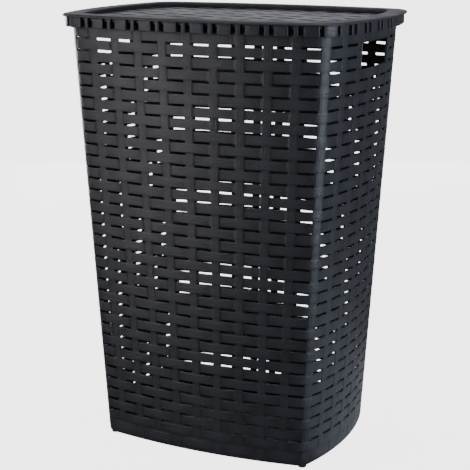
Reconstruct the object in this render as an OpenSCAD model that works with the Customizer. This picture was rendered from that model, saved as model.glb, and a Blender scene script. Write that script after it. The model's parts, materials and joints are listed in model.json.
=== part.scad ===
// Rectangular laundry hamper with a hinged lid.
// The wall is a moulded imitation of a rattan weave: rows of through slots
// between horizontal slats, with upright strips that pass over and under them.
// Every wall face is part of a cone, and all the cones share one apex far
// below the floor, so the strips run straight and draw together downwards.

/* [Overall size] */
// Height of the closed hamper over its feet and lid
total_h = 615; // [560:5:680]
// Half width of the wall at the top slot row
half_w = 208; // [180:1:230]
// Half depth of the wall at the top slot row
half_d = 156; // [130:1:175]
// Bulge of the front and back wall over their half width
bulge_front = 23; // [14:1:30]
// Bulge of the side walls over their half depth
bulge_side = 26; // [18:1:34]
// Corner radius of the wall at the top slot row
corner_r = 24; // [20:1:30]
// Distance below the top slot row at which all wall lines would meet
apex_drop = 3280; // [2600:20:5000]

/* [Walls] */
// Wall thickness
wall_t = 2.5; // [2:0.1:3.5]
// Height of the feet
foot_h = 4; // [3:0.5:6]
// Radius of each foot
foot_r = 6; // [4:0.5:7]
// Thickness of the bottom plate
base_t = 3; // [2:0.5:5]
// Rise of the stiffening panel in the bottom plate
rib_h = 5; // [3:0.5:8]
// Width of the flat border around that panel
floor_border = 26; // [18:1:40]
// Distance of a foot from the corner of the bottom
foot_inset = 2; // [1:0.5:5]

/* [Weave] */
// Number of slot rows
rows = 34; // [20:1:34]
// Height from one slot row to the next
row_pitch = 16.4; // [15:0.1:16.6]
// Height of one slot
slot_h = 3.2; // [2:0.1:5]
// Slot length as a share of the column pitch
slot_share = 0.66; // [0.5:0.01:0.72]
// Width of the gap at a corner, in column pitches
corner_gap = 1.06; // [1.04:0.01:1.1]
// How far the upper strand of a crossing stands proud
weave_h = 0.8; // [0.4:0.1:1.2]
// Distance of a raised crossing from the slots around it
pad_edge = 0.6; // [0.4:0.1:1]
// Distance of a raised crossing from the joint between two wall panels
pad_joint = 0.25; // [0.2:0.05:0.5]
// Height of plain wall between the top slot row and the rim
rim_gap = 15; // [13:0.5:17]

/* [Rim and frieze] */
// Height of the toothed frieze
frieze_h = 9.8; // [8:0.2:11]
// How far the frieze stands out from the wall
frieze_out = 10; // [7:0.5:11]
// Gap between the teeth and the wall behind them
frieze_gap = 0.4; // [0.3:0.05:0.6]
// Thickness of the flange that closes the frieze
flange_t = 2.5; // [2:0.1:3]
// Width of each wide tooth as a share of the column pitch
tooth_share = 0.48; // [0.4:0.02:0.56]
// Width of each narrow tooth as a share of the column pitch
thin_share = 0.15; // [0.1:0.01:0.2]
// Width of the tooth on each corner
corner_tooth = 14; // [10:0.5:15]

/* [Hand holes] */
// Slot rows that each hand hole takes the place of
grip_rows = 3; // [2:1:3]
// Slot columns that each hand hole takes the place of
grip_cols = 3; // [1:2:3]
// Corner radius of a hand hole
grip_r = 4; // [2:0.5:8]

/* [Lid] */
// Gap between the rim and the lid resting over it
lid_gap = 0.3; // [0.2:0.1:0.5]
// How far the lid stands out past the wall
lid_out = 14; // [12:0.5:16]
// Width of the smooth lid frame
frame_w = 27; // [24:0.5:29]
// Thickness of the lid frame at its crown
frame_t = 5.5; // [5:0.1:7]
// Thickness of the woven lid panel
panel_t = 2.6; // [2:0.1:3]
// Depth of the recess in which the panel lies
recess = 6; // [4:0.5:7]
// Height of the weave on the panel
panel_weave_h = 0.6; // [0.3:0.1:1]
// Length of one weave step along the panel
panel_pitch = 50; // [36:1:56]
// Width of one strand of the panel
panel_strand = 18; // [16:1:30]
// Thickness of the lid shell over the rim
lid_t = 2.6; // [2:0.1:3.2]
// Depth of the locating ring under the lid
ring_h = 6; // [4:0.5:8]
// Thickness of the locating ring
ring_t = 2.5; // [2:0.1:3]
// Gap between the locating ring and the wall
ring_gap = 1.5; // [1.2:0.1:2]

/* [Hinge] */
// Distance of each hinge from the middle
hinge_x = 62; // [50:1:70]
// Radius of the hinge pins
pin_r = 1.8; // [1.5:0.1:2]
// Running clearance of a pin in its knuckle
pin_gap = 0.05; // [0.03:0.01:0.08]
// Outer radius of a knuckle
knuckle_r = 3.5; // [3.2:0.1:3.8]
// Distance of the hinge line below the lid frame
hinge_drop = 5; // [4.5:0.1:6]
// Gap between a knuckle and the rim
knuckle_gap = 0.5; // [0.4:0.1:1]
// Width of a knuckle
knuckle_w = 14; // [10:1:18]
// Thickness of each hinge ear
ear_t = 3; // [2.5:0.5:4]
// Gap between a knuckle and an ear
ear_gap = 0.3; // [0.2:0.1:0.5]

/* [Hidden] */
$fn = 96;
big = 900;
eps = 0.01;
// slot columns across the front or back and across a side; with these counts
// the strip between the last front and the first side column is on the corner
cols_front = 10;
cols_side = 7;
mid_front = 4;                        // columns of the middle front panel
mid_side = 3;                         // columns of the middle side panel
lap = 0.1;                            // extra wall thickness at the corners
lap_angle = 8;                        // how far a corner runs into the faces

// heights
z_lid = total_h - frame_t;            // underside of the lid frame
z_rim = z_lid - lid_gap;              // top of the flange
z_flange = z_rim - flange_t;          // top of the wall
z_frieze = z_flange - frieze_h;       // underside of the frieze
z_top_row = z_frieze - rim_gap;       // middle of the top slot row
z_apex = z_top_row - apex_drop;
z_base = foot_h;
z_wall = foot_h + base_t;
function row_z(i) = z_top_row - i * row_pitch;
function slat_z(i) = z_top_row + (0.5 - i) * row_pitch;
slats = rows + 2;

// the front and side cones: radius of curvature from width and bulge
rf = (half_w * half_w + bulge_front * bulge_front) / (2 * bulge_front);
rs = (half_d * half_d + bulge_side * bulge_side) / (2 * bulge_side);
beta_f = atan(half_d / apex_drop);    // lean of the front wall
beta_s = atan(half_w / apex_drop);    // lean of the side walls
tau_f = atan((rf - half_d) / apex_drop);
tau_s = atan((rs - half_w) / apex_drop);
al_f = beta_f + tau_f;
al_s = beta_s + tau_s;
al_c = atan(corner_r / apex_drop);

function unit(v) = v / norm(v);
// direction of a cone axis that leans by p towards azimuth q
function axis_of(p, q) = [sin(p) * cos(q), sin(p) * sin(q), cos(p)];
ax_f = axis_of(tau_f, 90);
ax_s = axis_of(tau_s, 180);
// corner axis: at set angles from both, on the outer side
c1 = cos(al_f - al_c);
c2 = cos(al_s - al_c);
dot_fs = ax_f * ax_s;
k1 = (c1 - c2 * dot_fs) / (1 - dot_fs * dot_fs);
k2 = (c2 - c1 * dot_fs) / (1 - dot_fs * dot_fs);
plane_part = k1 * ax_f + k2 * ax_s;
normal_fs = cross(ax_f, ax_s);
k3 = sqrt(1 - plane_part * plane_part) / norm(normal_fs);
cand_a = plane_part + k3 * normal_fs;
cand_b = plane_part - k3 * normal_fs;
ax_c = cand_a[0] - cand_a[1] > cand_b[0] - cand_b[1] ? cand_a : cand_b;
p_c = acos(ax_c[2]);
q_c = atan2(ax_c[1], ax_c[0]);
// angle about an axis (lean p, azimuth q) at which a direction v lies
function local_angle(v, p, q) =
    let (a = v[0] * cos(q) + v[1] * sin(q), b = -v[0] * sin(q) + v[1] * cos(q))
    atan2(b, a * cos(p) - v[2] * sin(p));
function wrap(a) = a < 0 ? a + 360 : a;
// seams where the corner cone touches the front cone and the side cone
e_f = unit(ax_c - ax_f * (ax_c * ax_f));
e_s = unit(ax_c - ax_s * (ax_c * ax_s));
seam_f = wrap(local_angle(e_f, tau_f, 90)) - 180;    // half angle of the front face
seam_s = 180 - wrap(local_angle(e_s, tau_s, 180));   // half angle of the side face
seam_cf = local_angle(unit(ax_c - ax_f), p_c, q_c);
seam_cs = local_angle(unit(ax_c - ax_s), p_c, q_c);

// point at height z on the generator at angle t about the axis (p, q)
function cone_point(p, q, al, t, z) =
    let (x = sin(al) * cos(t), y = sin(al) * sin(t), w = cos(al),
         u = x * cos(p) + w * sin(p), v = -x * sin(p) + w * cos(p),
         g = [u * cos(q) - y * sin(q), u * sin(q) + y * cos(q), v])
    [g[0] * (z - z_apex) / v, g[1] * (z - z_apex) / v, z];
function front_point(t, z) = cone_point(tau_f, 90, al_f, 180 + t, z);
function side_point(t, z) = cone_point(tau_s, 180, al_s, 180 + t, z);
function corner_point(t, z) = cone_point(p_c, q_c, al_c, t, z);

// lengths of the three arcs of a quarter outline at the top slot row
function arc_len(a, n) = n == 0 ? 0 : norm(a[n] - a[n - 1]) + arc_len(a, n - 1);
steps = 24;
len_f = arc_len([for (i = [0:steps]) front_point(seam_f * i / steps, z_top_row)], steps);
len_c = arc_len([for (i = [0:steps])
    corner_point(seam_cf + (seam_cs - seam_cf) * i / steps, z_top_row)], steps);
len_s = arc_len([for (i = [0:steps]) side_point(seam_s * i / steps, z_top_row)], steps);
quarter = len_f + len_c + len_s;
pitch = quarter / ((cols_front - 1) / 2 + corner_gap + (cols_side - 1) / 2);
slot_l = slot_share * pitch;
// point of the outline at a run s from the middle of the front, at height z
function at(s, z) =
    s < 0 ? let (p = at(-s, z)) [-p[0], p[1], p[2]] :
    s <= len_f ? front_point(seam_f * s / len_f, z) :
    s <= len_f + len_c ? corner_point(corner_t(s), z) :
    s <= quarter ? side_point(-seam_s * (quarter - s) / len_s, z) :
    let (p = at(2 * quarter - s, z)) [p[0], -p[1], p[2]];
function corner_t(s) = seam_cf + (seam_cs - seam_cf) * (s - len_f) / len_c;
function share(z) = (z - z_apex) / apex_drop;
// runs of the slot columns, the strips between them, and the corner strip
function front_run(j) = (j - (cols_front - 1) / 2) * pitch;
function side_run(j) = quarter + (j - (cols_side - 1) / 2) * pitch;
run_corner = (front_run(cols_front - 1) + side_run(0)) / 2;
t_split = corner_t(run_corner);
// the wall is parted at the corner strips and at these strips of each face
part_f = mid_front / 2 * pitch;
part_s = quarter - mid_side / 2 * pitch;
angle_f = seam_f * part_f / len_f;
angle_s = seam_s * (quarter - part_s) / len_s;
pad_h = row_pitch - slot_h - 2 * pad_edge;
pad_w = pitch - slot_l - 2 * pad_edge;

// closed outline at height z, from runs along a quarter
part_n = 12;
runs = [for (i = [0:3 * part_n])
    i < part_n ? len_f * i / part_n :
    i < 2 * part_n ? len_f + len_c * (i - part_n) / part_n :
    len_f + len_c + len_s * (i - 2 * part_n) / part_n];
last = 3 * part_n;
half_runs = concat(runs, [for (i = [last - 1:-1:0]) 2 * quarter - runs[i]]);
function flat(p) = [p[0], p[1]];
function outline(z) = concat([for (s = half_runs) flat(at(s, z))],
    [for (i = [len(half_runs) - 2:-1:1]) flat(at(-half_runs[i], z))]);

// lid outline: arcs of the wall at the lid's underside, about upright axes
lid_k = share(z_lid);
lid_d = half_d * lid_k;
lid_w = half_w * lid_k;
lid_rf = rf * lid_k;
lid_rs = rs * lid_k;
lid_rc = corner_r * lid_k;
cf = [0, lid_d - lid_rf];             // centre of the back arc
cs = [lid_w - lid_rs, 0];             // centre of the right arc
gap_fs = norm(cs - cf);
run_fs = ((lid_rf - lid_rc) * (lid_rf - lid_rc) - (lid_rs - lid_rc) * (lid_rs - lid_rc)
    + gap_fs * gap_fs) / (2 * gap_fs);
off_fs = sqrt((lid_rf - lid_rc) * (lid_rf - lid_rc) - run_fs * run_fs);
dir_fs = (cs - cf) / gap_fs;
cc = cf + run_fs * dir_fs + off_fs * [dir_fs[1], -dir_fs[0]];   // corner centre
phi_f = atan2(cc[1] - cf[1], cc[0] - cf[0]);
phi_s = atan2(cc[1] - cs[1], cc[0] - cs[0]);
function ray(c, r, a) = c + r * [cos(a), sin(a)];
function lid_quarter(off) = [for (i = [0:3 * part_n])
    i < part_n ? ray(cf, lid_rf + off, 90 + (phi_f - 90) * i / part_n) :
    i < 2 * part_n ? ray(cc, lid_rc + off, phi_f + (phi_s - phi_f) * (i - part_n) / part_n) :
    ray(cs, lid_rs + off, phi_s - phi_s * (i - 2 * part_n) / part_n)];
function lid_outline(off) = let (q = lid_quarter(off)) concat(
    q, [for (i = [last - 1:-1:0]) [q[i][0], -q[i][1]]],
    [for (i = [1:last]) [-q[i][0], -q[i][1]]], [for (i = [last - 1:-1:1]) [-q[i][0], q[i][1]]]);
lid_in = frame_w - lid_out;           // inner edge of the frame, inside the wall line
z_panel = total_h - recess;           // top of the panel
ring_out = wall_t + ring_gap;

// hinge line behind the rim
rim_d = lid_d + frieze_out;
rim_r = lid_rf + frieze_out;
function rim_y(x) = rim_d - rim_r + sqrt(rim_r * rim_r - x * x);
hinge_y = rim_d + knuckle_r + knuckle_gap;
hinge_z = z_lid - hinge_drop;
web_y = rim_y(hinge_x - knuckle_w / 2) + 0.4 - hinge_y;
ear_x = knuckle_w / 2 + ear_gap;

shell_color = "#2f333a";
lid_color = "#34383f";
pin_color = "#26292e";

// a slab of space between two heights
module slab(z0, z1) {
    translate([-big / 2, -big / 2, z0]) cube([big, big, z1 - z0]);
}

// part of a conical shell between two angles and two offsets from the wall face
module cone_shell(p, q, al, t0, t1, off_in, off_out, z0, z1) {
    s0 = (z0 - z_apex) * 0.93;
    s1 = (z1 - z_apex) * 1.07;
    translate([0, 0, z_apex]) rotate([0, p, q])
        rotate_extrude(angle = t1 - t0, start = t0, $fn = 360)
            polygon([[s0 * tan(al) + off_in / cos(al), s0],
                [s0 * tan(al) + off_out / cos(al), s0],
                [s1 * tan(al) + off_out / cos(al), s1],
                [s1 * tan(al) + off_in / cos(al), s1]]);
}

// faces and corner halves; a corner is a little thicker and runs into the face
module front_face(t0, t1, off_in, off_out, z0, z1) {
    cone_shell(tau_f, 90, al_f, 180 + t0, 180 + t1, off_in, off_out, z0, z1);
}
module side_face(t0, t1, off_in, off_out, z0, z1) {
    cone_shell(tau_s, 180, al_s, 180 + t0, 180 + t1, off_in, off_out, z0, z1);
}
module front_corner(off_in, off_out, z0, z1) {
    cone_shell(p_c, q_c, al_c, seam_cf - lap_angle, t_split, off_in - lap, off_out + lap, z0, z1);
}
module side_corner(off_in, off_out, z0, z1) {
    cone_shell(p_c, q_c, al_c, t_split, seam_cs + lap_angle, off_in - lap, off_out + lap, z0, z1);
}
module mirror_x() { children(); mirror([1, 0, 0]) children(); }
module mirror_y() { children(); mirror([0, 1, 0]) children(); }

// places children square to the wall, over the run s0 to s1 at height z;
// x is along the wall and -y points outwards
module against_wall(s0, s1, z) {
    a = at(s0, z);
    b = at(s1, z);
    translate((a + b) / 2) rotate([0, 0, atan2(b[1] - a[1], b[0] - a[0])]) children();
}
module on_wall(s0, s1, z, h, off_in, off_out) {
    l = norm(at(s1, z) - at(s0, z));
    against_wall(s0, s1, z) translate([-l / 2, -off_out, -h / 2])
        cube([l, off_out - off_in, h]);
}

// through slots of one column
module slot_column(s, first) {
    for (i = [first:rows - 1])
        on_wall(s - slot_l / 2, s + slot_l / 2, row_z(i), slot_h, -8, 7);
}

// slats on which a strip passes over, every second one
function over(odd) = [for (i = [odd:2:rows + 1])
    if (slat_z(i) - pad_h / 2 > z_wall && slat_z(i) + pad_h / 2 < z_frieze) i];
// raised crossings of an upright strip that covers the run s0 to s1; a hand
// hole takes the place of those beside its first rows
module strip_pads(s0, s1, odd, hole = 0) {
    for (i = over(odd)) if (i < 1 || i >= hole)
        on_wall(s0, s1, slat_z(i), pad_h, -1, weave_h);
}
// the same on a corner, between two angles about the corner's axis
module corner_pads(t0, t1, odd) {
    intersection() {
        cone_shell(p_c, q_c, al_c, t0, t1, -1, weave_h + lap, z_wall, z_frieze);
        for (i = over(odd)) slab(slat_z(i) - pad_h / 2, slat_z(i) + pad_h / 2);
    }
}

// middle panel of the front; on the back, flip swaps over and under
module front_middle(flip = 0) {
    n = mid_front / 2;
    difference() {
        union() {
            intersection() {
                front_face(-angle_f, angle_f, -wall_t, 0, z_wall, z_flange);
                slab(z_wall, z_flange);
            }
            for (j = [1 - n:n - 1])
                strip_pads(j * pitch - pad_w / 2, j * pitch + pad_w / 2, (j + n + flip) % 2);
            strip_pads(part_f - pad_w / 2, part_f - pad_joint, flip);
            strip_pads(-part_f + pad_joint, -part_f + pad_w / 2, flip);
        }
        for (j = [-n:n - 1]) slot_column((j + 0.5) * pitch, 0);
    }
}
// right end panel of the front, round to the middle of the corner
module front_end(flip = 0) {
    k = (cols_front - mid_front) / 2;
    difference() {
        union() {
            intersection() {
                union() {
                    front_face(angle_f, seam_f, -wall_t, 0, z_wall, z_flange);
                    front_corner(-wall_t, 0, z_wall, z_flange);
                }
                slab(z_wall, z_flange);
            }
            strip_pads(part_f + pad_joint, part_f + pad_w / 2, flip);
            for (j = [1:k - 1])
                strip_pads(part_f + j * pitch - pad_w / 2, part_f + j * pitch + pad_w / 2,
                    (j + flip) % 2);
            corner_pads(corner_t(front_run(cols_front - 1) + slot_l / 2 + pad_edge), t_split,
                (k + flip) % 2);
        }
        for (j = [cols_front - k:cols_front - 1]) slot_column(front_run(j), 0);
    }
}
// front end panel of the right side, from the middle of the corner
module side_end(flip = 0) {
    k = (cols_side - mid_side) / 2;
    kf = (cols_front - mid_front) / 2;
    difference() {
        union() {
            intersection() {
                union() {
                    side_face(-seam_s, -angle_s, -wall_t, 0, z_wall, z_flange);
                    side_corner(-wall_t, 0, z_wall, z_flange);
                }
                slab(z_wall, z_flange);
            }
            corner_pads(t_split, corner_t(side_run(0) - slot_l / 2 - pad_edge), (kf + flip) % 2);
            for (j = [1:k - 1])
                strip_pads(part_s - j * pitch - pad_w / 2, part_s - j * pitch + pad_w / 2,
                    (kf + k - j + flip) % 2);
            strip_pads(part_s - pad_w / 2, part_s - pad_joint, (kf + k + flip) % 2);
        }
        for (j = [0:k - 1]) slot_column(side_run(j), 0);
    }
}
// middle panel of a side, with its hand hole
module side_middle() {
    k = (cols_side - mid_side) / 2;
    odd = ((cols_front - mid_front) / 2 + k) % 2;
    mid = (cols_side - 1) / 2;
    hole_l = (grip_cols - 1) * pitch + slot_l;
    hole_h = (grip_rows - 1) * row_pitch + slot_h;
    difference() {
        union() {
            difference() {
                intersection() {
                    side_face(-angle_s, angle_s, -wall_t, 0, z_wall, z_flange);
                    slab(z_wall, z_flange);
                }
                against_wall(quarter - hole_l / 2, quarter + hole_l / 2, row_z((grip_rows - 1) / 2))
                    rotate([90, 0, 0]) translate([0, 0, -10])
                        linear_extrude(20) hole_outline(hole_l, hole_h, grip_r);
            }
            strip_pads(part_s + pad_joint, part_s + pad_w / 2, odd);
            for (j = [1:mid_side - 1])
                strip_pads(part_s + j * pitch - pad_w / 2, part_s + j * pitch + pad_w / 2,
                    (odd + j) % 2, abs(j - mid_side / 2) < grip_cols / 2 ? grip_rows : 0);
            strip_pads(2 * quarter - part_s - pad_w / 2, 2 * quarter - part_s - pad_joint,
                (odd + mid_side) % 2);
        }
        for (j = [k:cols_side - 1 - k])
            slot_column(side_run(j), abs(j - mid) <= (grip_cols - 1) / 2 ? grip_rows : 0);
    }
}
module hole_outline(l, h, r) {
    polygon([for (q = [0:3], a = [0:22.5:90])
        [(q == 0 || q == 3 ? 1 : -1) * (l / 2 - r) + r * cos(q * 90 + a),
         (q < 2 ? 1 : -1) * (h / 2 - r) + r * sin(q * 90 + a)]]);
}
module rounded_slot(l, h, r) {
    square([l - 2 * r, h], center = true);
    square([l, h - 2 * r], center = true);
    for (x = [-1, 1], y = [-1, 1])
        translate([x * (l / 2 - r), y * (h / 2 - r)]) circle(r);
}

module wall_front() { color(shell_color) front_middle(); }
module wall_back() { color(shell_color) mirror([0, 1, 0]) front_middle(1); }
module wall_front_right() { color(shell_color) front_end(); }
module wall_front_left() { color(shell_color) mirror([1, 0, 0]) front_end(); }
module wall_back_right() { color(shell_color) mirror([0, 1, 0]) front_end(1); }
module wall_back_left() { color(shell_color) rotate([0, 0, 180]) front_end(1); }
module wall_right() { color(shell_color) side_middle(); }
module wall_left() { color(shell_color) mirror([1, 0, 0]) side_middle(); }
module wall_right_front() { color(shell_color) side_end(); }
module wall_right_back() { color(shell_color) mirror([0, 1, 0]) side_end(1); }
module wall_left_front() { color(shell_color) mirror([1, 0, 0]) side_end(); }
module wall_left_back() { color(shell_color) rotate([0, 0, 180]) side_end(1); }

// gaps of the frieze on both sides of the column at run s, out to lo and hi
thin_half = thin_share * pitch / 2;
// angles about the rim's arcs at run s
function phi_back(s) = 90 - s / len_f * (90 - phi_f);
function phi_corner(s) = phi_f - (s - len_f) / len_c * (phi_f - phi_s);
function phi_side(s) = (s - quarter) / len_s * phi_s;
// gap between two teeth, from angle a0 to a1 of an arc about c
module frieze_gap(c, r, a0, a1) {
    swept([[-1, z_frieze - 1], [frieze_out + 3, z_frieze - 1],
        [frieze_out + 3, z_flange], [-1, z_flange]], c, r, a0, a1);
}
function rim_section() = [[-wall_t, z_flange], [frieze_gap, z_flange],
    [frieze_gap, z_frieze], [frieze_out, z_frieze], [frieze_out, z_rim], [-wall_t, z_rim]];
// a section swept along an arc of the rim's outline about an upright axis
module swept(section, c, r, a0, a1) {
    translate([c[0], c[1], 0]) rotate_extrude(angle = a1 - a0, start = a0, $fn = 360)
        polygon([for (p = section) [r + p[0], p[1]]]);
}
// a section for a corner arc: a little wider on both sides of mid, so that the
// corner runs into the flatter arcs beside it
function wider(section, mid) = [for (p = section) [p[0] + (p[0] > mid ? lap : -lap), p[1]]];
module rim_b() {
    e = pitch / 2 - thin_half;
    h = tooth_share * pitch / 2;
    difference() {
        swept(rim_section(), cf, lid_rf, phi_f, 180 - phi_f);
        for (j = [0:cols_front - 2]) {
            frieze_gap(cf, lid_rf, phi_back(front_run(j) + e), phi_back(front_run(j) + h));
            frieze_gap(cf, lid_rf, phi_back(front_run(j + 1) - h), phi_back(front_run(j + 1) - e));
        }
    }
}
module rim_s() {
    e = pitch / 2 - thin_half;
    h = tooth_share * pitch / 2;
    difference() {
        swept(rim_section(), cs, lid_rs, -phi_s, phi_s);
        for (j = [0:cols_side - 2]) {
            frieze_gap(cs, lid_rs, phi_side(side_run(j) + h), phi_side(side_run(j) + e));
            frieze_gap(cs, lid_rs, phi_side(side_run(j + 1) - e), phi_side(side_run(j + 1) - h));
        }
        for (m = [0, 1]) mirror([0, m, 0])
            frieze_gap(cs, lid_rs, -phi_s - 1, phi_side(side_run(0) - h));
    }
}
// corner of the rim, with a tooth on the corner strip
module rim_c() {
    h = tooth_share * pitch / 2;
    color(shell_color) difference() {
        swept(rim_section(), cc, lid_rc, phi_s, phi_f);
        frieze_gap(cc, lid_rc, phi_corner(run_corner - corner_tooth / 2),
            phi_corner(front_run(cols_front - 1) + h));
        frieze_gap(cc, lid_rc, phi_s - 9, phi_corner(run_corner + corner_tooth / 2));
    }
}
module rim_front() { color(shell_color) mirror([0, 1, 0]) rim_b(); }
module rim_back() { color(shell_color) rim_b(); }
module rim_right() { color(shell_color) rim_s(); }
module rim_left() { color(shell_color) mirror([1, 0, 0]) rim_s(); }
module rim_corner_back_right() { rim_c(); }
module rim_corner_back_left() { mirror([1, 0, 0]) rim_c(); }
module rim_corner_front_right() { mirror([0, 1, 0]) rim_c(); }
module rim_corner_front_left() { rotate([0, 0, 180]) rim_c(); }

// bottom plate with a raised stiffening panel
module floor_panel(in) {
    b = at(0, z_wall);
    c = at(quarter, z_wall);
    rounded_slot(2 * (c[0] - floor_border - in), 2 * (-b[1] - floor_border - in), 20 - in);
}
module base_plate() {
    color(shell_color) difference() {
        union() {
            translate([0, 0, z_base]) linear_extrude(base_t) polygon(outline(z_wall));
            translate([0, 0, z_base + eps]) linear_extrude(base_t + rib_h - eps) floor_panel(0);
        }
        translate([0, 0, z_base - 1]) linear_extrude(rib_h + 1) floor_panel(base_t);
    }
}
module foot() {
    c = ax_c * (z_base - z_apex) / ax_c[2];
    d = unit([c[0], c[1], 0]);
    r = corner_r * share(z_base) - foot_inset - foot_r;
    color(shell_color) translate([c[0] + r * d[0], c[1] + r * d[1], 0])
        cylinder(r = foot_r, h = foot_h);
}
module foot_front_right() { foot(); }
module foot_front_left() { mirror([1, 0, 0]) foot(); }
module foot_back_right() { mirror([0, 1, 0]) foot(); }
module foot_back_left() { rotate([0, 0, 180]) foot(); }

// pair of ears on the back of the rim, joined below the knuckle
module hinge_ears() {
    low = z_frieze - hinge_z;
    half = ear_x + ear_t;
    color(shell_color) difference() {
        translate([hinge_x, hinge_y, hinge_z]) difference() {
            union() {
                for (x = [-half, ear_x]) translate([x, 0, 0]) rotate([90, 0, 90])
                    linear_extrude(ear_t) {
                        circle(knuckle_r);
                        polygon([[-12, knuckle_r], [0, knuckle_r], [knuckle_r, 0],
                            [0, low], [-12, low]]);
                    }
                translate([-half, -12, low]) cube([2 * half, 12, -low - knuckle_r - 1.2]);
            }
            translate([-half - 1, 0, 0]) rotate([0, 90, 0])
                cylinder(r = pin_r, h = 2 * half + 2);
        }
        swept([[-40, z_frieze - 9], [frieze_out, z_frieze - 9], [frieze_out, z_rim],
            [-40, z_rim]], cf, lid_rf, phi_f, 180 - phi_f);
    }
}
module hinge_pin() {
    half = ear_x + ear_t;
    color(pin_color) translate([hinge_x - half, hinge_y, hinge_z])
        rotate([0, 90, 0]) cylinder(r = pin_r, h = 2 * half);
}
// knuckle with its web up to the underside of the lid frame
module lid_knuckle() {
    color(lid_color) translate([hinge_x - knuckle_w / 2, hinge_y, hinge_z]) difference() {
        union() {
            rotate([0, 90, 0]) cylinder(r = knuckle_r, h = knuckle_w);
            rotate([90, 0, 90]) linear_extrude(knuckle_w)
                polygon([[web_y, 0.3], [web_y, hinge_drop], [-1.2, hinge_drop],
                    [0.5 * knuckle_r, 0.7 * knuckle_r], [0, 0]]);
        }
        translate([-1, 0, 0]) rotate([0, 90, 0])
            cylinder(r = pin_r + pin_gap, h = knuckle_w + 2);
    }
}
module hinge_ears_right() { hinge_ears(); }
module hinge_ears_left() { mirror([1, 0, 0]) hinge_ears(); }
module hinge_pin_right() { hinge_pin(); }
module hinge_pin_left() { mirror([1, 0, 0]) hinge_pin(); }
module lid_knuckle_right() { lid_knuckle(); }
module lid_knuckle_left() { mirror([1, 0, 0]) lid_knuckle(); }

// cross section of the lid frame, as offsets from the wall line and heights
crown_out = 9;
crown_in = 7;
function lid_section() = concat(
    [[-ring_out - ring_t, z_lid - ring_h], [-ring_out, z_lid - ring_h],
     [-ring_out, total_h - lid_t], [lid_out - 5.5, total_h - lid_t],
     [lid_out - 5.5, z_lid], [lid_out, z_lid]],
    [for (a = [0:15:90]) [lid_out - crown_out + crown_out * cos(a),
        z_lid + 1.5 + (frame_t - 1.5) * sin(a)]],
    [for (a = [90:15:180]) [crown_in - lid_in + crown_in * cos(a),
        total_h - 3.5 + 3.5 * sin(a)]],
    [[-lid_in, z_panel - panel_t], [-ring_out - ring_t, z_panel - panel_t]]);
module lid_bar() {
    color(lid_color) swept(lid_section(), cf, lid_rf, phi_f, 180 - phi_f);
}
// side of the lid frame with both corners
module lid_side() {
    color(lid_color) {
        swept(lid_section(), cs, lid_rs, -phi_s, phi_s);
        mirror_y() swept(wider(lid_section(), lid_out - frame_w / 2), cc, lid_rc,
            phi_s - lap_angle, phi_f);
    }
}
module lid_frame_back() { lid_bar(); }
module lid_frame_front() { mirror([0, 1, 0]) lid_bar(); }
module lid_frame_right() { lid_side(); }
module lid_frame_left() { mirror([1, 0, 0]) lid_side(); }
// woven panel: strands that rise at every second crossing
module lid_panel() {
    nx = ceil(lid_w / panel_pitch);
    ny = ceil(lid_d / panel_strand);
    color(lid_color) {
        translate([0, 0, z_panel - panel_t]) linear_extrude(panel_t - panel_weave_h)
            polygon(lid_outline(-lid_in));
        intersection() {
            translate([0, 0, z_panel - panel_t + eps]) linear_extrude(panel_t - eps)
                polygon(lid_outline(-lid_in - 4));
            for (j = [-ny:ny], i = [-nx:nx])
                translate([(i + (j % 2 == 0 ? 0 : 0.5)) * panel_pitch - 0.36 * panel_pitch,
                    (j - 0.4) * panel_strand, z_panel - panel_t + eps])
                    cube([0.72 * panel_pitch, 0.8 * panel_strand, panel_t]);
        }
    }
}

base_plate();
wall_front_left();
wall_front();
wall_front_right();
wall_right_front();
wall_right();
wall_right_back();
wall_back_right();
wall_back();
wall_back_left();
wall_left_back();
wall_left();
wall_left_front();
rim_front();
rim_right();
rim_back();
rim_left();
rim_corner_front_left();
rim_corner_front_right();
rim_corner_back_left();
rim_corner_back_right();
foot_front_left();
foot_front_right();
foot_back_left();
foot_back_right();
hinge_ears_left();
hinge_ears_right();
hinge_pin_left();
hinge_pin_right();
lid_frame_front();
lid_frame_back();
lid_frame_left();
lid_frame_right();
lid_panel();
lid_knuckle_left();
lid_knuckle_right();
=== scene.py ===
import json
import math

import bpy
import numpy as np
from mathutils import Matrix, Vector


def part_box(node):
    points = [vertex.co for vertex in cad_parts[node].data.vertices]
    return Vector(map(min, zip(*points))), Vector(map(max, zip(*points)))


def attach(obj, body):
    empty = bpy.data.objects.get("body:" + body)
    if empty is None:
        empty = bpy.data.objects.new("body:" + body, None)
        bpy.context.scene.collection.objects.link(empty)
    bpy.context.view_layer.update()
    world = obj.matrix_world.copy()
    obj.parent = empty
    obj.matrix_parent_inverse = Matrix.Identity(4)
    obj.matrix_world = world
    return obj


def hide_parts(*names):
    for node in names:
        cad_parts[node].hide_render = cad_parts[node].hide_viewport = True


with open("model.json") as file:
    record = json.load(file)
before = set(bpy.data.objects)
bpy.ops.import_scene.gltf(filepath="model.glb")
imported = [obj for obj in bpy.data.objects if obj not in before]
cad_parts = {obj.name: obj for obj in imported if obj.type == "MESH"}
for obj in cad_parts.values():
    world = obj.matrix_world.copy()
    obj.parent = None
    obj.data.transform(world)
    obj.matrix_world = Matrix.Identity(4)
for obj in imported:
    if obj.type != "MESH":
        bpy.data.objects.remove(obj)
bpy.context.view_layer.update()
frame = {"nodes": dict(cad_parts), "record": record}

bl_info = {
    "name": "Woven laundry hamper",
    "version": (1, 0, 0),
    "blender": (4, 5, 0),
    "location": "3D View > Sidebar > Hamper",
    "description": "A moulded, woven-look hamper with slotted walls, toothed rim and hinged lid",
    "category": "Add Mesh",
}

LID_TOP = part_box("lid_frame_front")[1][2]
HINGE_LINE = frame["record"]["behaviour"]["joints"][0]["pos_m"]


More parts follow.
